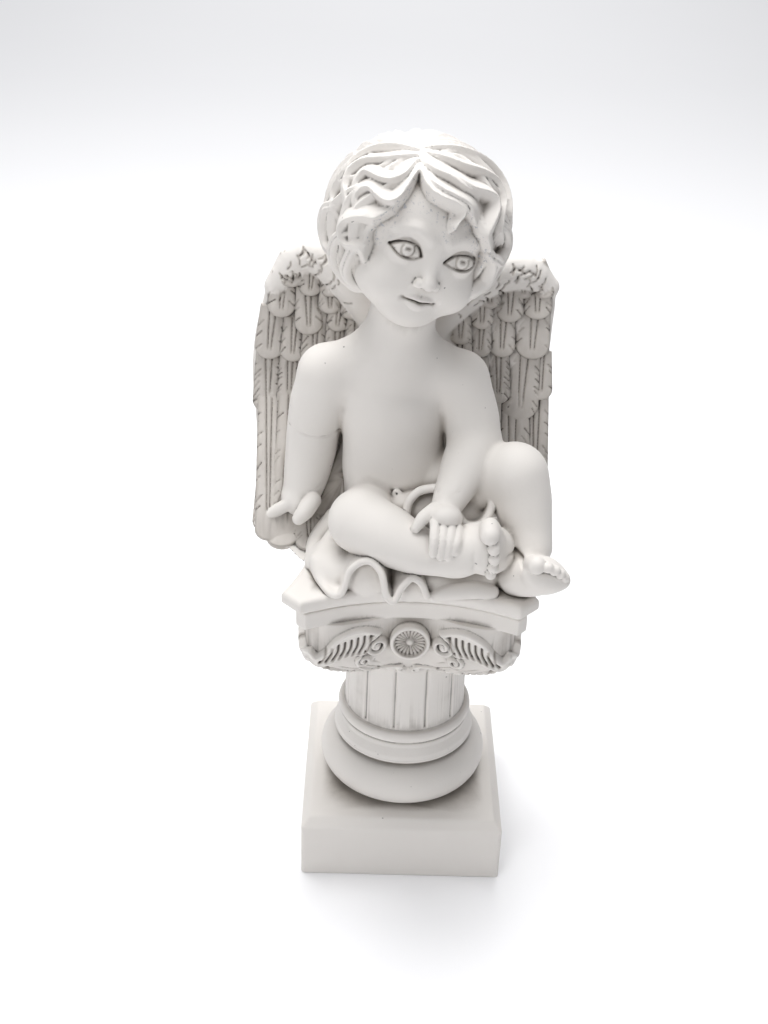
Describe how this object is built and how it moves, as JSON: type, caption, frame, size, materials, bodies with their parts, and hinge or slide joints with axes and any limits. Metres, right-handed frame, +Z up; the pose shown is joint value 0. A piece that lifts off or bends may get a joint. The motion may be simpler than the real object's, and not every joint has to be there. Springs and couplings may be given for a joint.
{
  "type": "angel statue with pedestal",
  "caption": "Seated child angel with spread wings and a draped cloth, on a short grooved column with a scrolled capital, a turned base and a square plinth.",
  "frame": {"origin": "centre of the plinth's underside", "axes": "+Z up along the column, -Y towards the side that the angel faces, +X to the viewer's right"},
  "size_m": [0.1453, 0.1273, 0.3635],
  "materials": {
    "angel_casting": "matte off-white cast stone and resin mix, grey-brown wash in the recesses",
    "pedestal_casting": "matte off-white cast stone and resin mix, grey-brown wash in the recesses"
  },
  "bodies": {
    "root": {"angel": "angel_casting", "pedestal": "pedestal_casting"}
  },
  "joints": []
}
